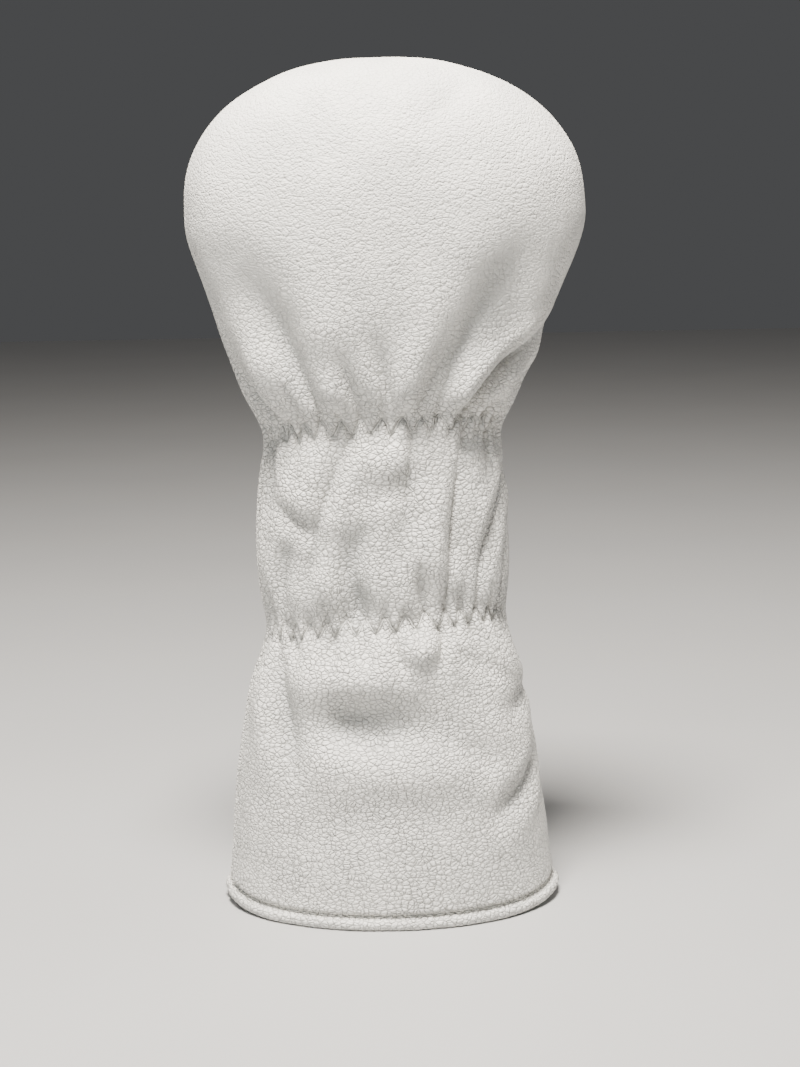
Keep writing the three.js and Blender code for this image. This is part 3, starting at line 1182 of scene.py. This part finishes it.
threadLook = {
    # dark: the painted shade in the grooves between the twisted strands
    "dark": (0.62, 0.61, 0.58, 1),
    "light": (0.86, 0.85, 0.81, 1),
    "twist": 0.55,  # mm of thread to a turn
    "fuzz": 5200.0,
    "relief": 0.09 * mm,
}
elasticLook = {
    # dark: the painted shade in the grooves between the ribs
    "dark": (0.68, 0.68, 0.66, 1),
    "light": (0.88, 0.88, 0.86, 1),
    "ribs": 260.0,
    "knit": 1900.0,
    "relief": 0.2 * mm,
}
foamLook = {
    # dark: the painted shade in the hollows of the pores
    "dark": (0.56, 0.55, 0.50, 1),
    "light": (0.74, 0.73, 0.68, 1),
    "pores": 900.0,
    "relief": 0.25 * mm,
}
plushLook = {
    "dark": (0.030, 0.033, 0.040, 1),
    "middle": (0.060, 0.064, 0.075, 1),
    # light: the painted highlight on the raised tufts of the pile
    "light": (0.085, 0.090, 0.104, 1),
    "pile": (1, 1, 0.55),
    "tufts": 1500.0,
    "brushed": 90.0,
    "relief": 0.7 * mm,
}
bindingTone = (0.775, 0.762, 0.725, 1)


def threadFinish():
    finish = Finish("twistedThread", Specular_IOR_Level=0.45, Sheen_Weight=0.25)
    twist = finish.attribute("run") / threadLook["twist"] + finish.attribute("turn")
    strands = (twist * (2 * math.pi)).sine() * 0.5 + 0.5
    fuzz = finish.noise(finish.coords(), threadLook["fuzz"], 2.0).out("Fac")
    finish.bump(strands + fuzz * 0.3, threadLook["relief"])
    # painted shade: the thread darkens in the grooves between its strands, and is mottled by the fuzz
    tone = finish.between(strands * 0.7 + fuzz * 0.3, threadLook["dark"], threadLook["light"])
    finish.feed("Base Color", tone)
    finish.feed("Roughness", finish.step(strands, 0.0, 1.0, 0.75, 0.5))
    return finish.material


def elasticFinish():
    finish = Finish("ribbedElastic", Sheen_Weight=0.2)
    place = finish.coords()
    inputs = {"Vector": place, "Scale": elasticLook["ribs"]}
    ribs = finish.node("ShaderNodeTexWave", {"bands_direction": "Z"}, inputs).out("Fac")
    knit = finish.noise(place, elasticLook["knit"], 2.0).out("Fac")
    finish.bump(ribs * 0.7 + knit * 0.3, elasticLook["relief"])
    # painted shade: the elastic darkens in the grooves between its ribs
    finish.feed("Base Color", finish.between(ribs, elasticLook["dark"], elasticLook["light"]))
    finish.feed("Roughness", finish.step(knit, 0.2, 0.8, 0.9, 0.75))
    return finish.material


def foamFinish():
    finish = Finish("openFoam")
    place = finish.coords()
    pores = finish.cells(place, foamLook["pores"], "F1").out("Distance")
    finish.bump(pores, foamLook["relief"])
    # painted shade: the foam darkens in the hollows of its pores
    finish.feed("Base Color", finish.between(pores.clamp(), foamLook["dark"], foamLook["light"]))
    finish.feed("Roughness", finish.step(pores, 0.0, 1.0, 0.98, 0.88))
    return finish.material


def plushFinish():
    finish = Finish("plushPile", Sheen_Weight=0.6, Sheen_Roughness=0.4)
    place = finish.coords(plushLook["pile"])
    tufts = finish.noise(place, plushLook["tufts"], 3.0, 0.65).out("Fac")
    brushed = finish.noise(place, plushLook["brushed"], 2.0).out("Fac")
    finish.bump(tufts + brushed * 0.6, plushLook["relief"])
    tone = finish.between(finish.step(brushed, 0.3, 0.7), plushLook["dark"], plushLook["middle"])
    # painted shade: the pile is lighter on its raised tufts and darker between them; the brushed patches are
    # a tone of its own
    finish.feed("Base Color", finish.between(tufts, tone, plushLook["light"]))
    finish.feed("Roughness", finish.step(tufts, 0.2, 0.8, 1.0, 0.85))
    return finish.material


def cover(piece, material):
    piece.data.materials.clear()
    piece.data.materials.append(material)


leather = leatherFinish("pebbledLeather", leatherLook["light"], leatherLook["relief"])
bindingLeather = leatherFinish("bindingLeather", bindingTone, leatherLook["relief"] * 0.8)
thread = threadFinish()
elastic = elasticFinish()
foam = foamFinish()
plush = plushFinish()
for piece, grid, panel in leatherPieces.values():
    cover(piece, leather)
for layer in layers.values():
    cover(layer["lining"], plush)
    cover(layer["padding"], foam)
for piece in elastics:
    cover(piece, elastic)
for piece in bindings:
    cover(piece, bindingLeather)
for piece in threads:
    cover(piece, thread)
print("materials made")


stageSetup = {
    "reach": 3,
    "roughness": 0.6,
    "cloud": 6.0,
    "dark": 0.40,
    "pale": 0.43,
    "sky": (0.60, 0.61, 0.63, 1),
    "skyStrength": 0.12,
}


def makeStage():
    setup = stageSetup
    floorMesh = bpy.data.meshes.new("floor")
    form = bmesh.new()
    bmesh.ops.create_grid(form, x_segments=1, y_segments=1, size=setup["reach"])
    form.to_mesh(floorMesh)
    form.free()
    floor = bpy.data.objects.new("floor", floorMesh)
    bpy.context.scene.collection.objects.link(floor)
    finish = Finish("paleFloor", Roughness=setup["roughness"])
    cloud = finish.noise(finish.coords(), setup["cloud"], 2.0).out("Fac")
    finish.feed("Base Color", finish.between(cloud, gray(setup["dark"]), gray(setup["pale"])))
    cover(floor, finish.material)
    world = bpy.data.worlds.new("studio")
    world.use_nodes = True
    background = world.node_tree.nodes["Background"]
    background.inputs["Color"].default_value = setup["sky"]
    background.inputs["Strength"].default_value = setup["skyStrength"]
    bpy.context.scene.world = world


softLights = [
    {"name": "overhead", "place": (-0.08, -0.34, 1.14), "target": (0, 0, 0.24), "size": 0.32, "power": 60,
     "color": (1.0, 0.94, 0.86)},
    {"name": "front", "place": (-0.8, -1.3, 0.8), "target": (0, 0, 0.12), "size": 0.6, "power": 6,
     "color": (0.90, 0.97, 1.0)},
    {"name": "side", "place": (1.1, 0.2, 0.8), "target": (0, 0, 0.2), "size": 0.6, "power": 3,
     "color": (0.97, 0.98, 1.0)},
]


def makeLights():
    for setup in softLights:
        data = bpy.data.lights.new(setup["name"], "AREA")
        data.size = setup["size"]
        data.energy = setup["power"]
        data.color = setup["color"]
        light = bpy.data.objects.new(setup["name"], data)
        bpy.context.scene.collection.objects.link(light)
        place = Vector(setup["place"])
        light.location = place
        light.rotation_euler = (Vector(setup["target"]) - place).to_track_quat("-Z", "Y").to_euler()


makeStage()
makeLights()
print("stage and lights ready")
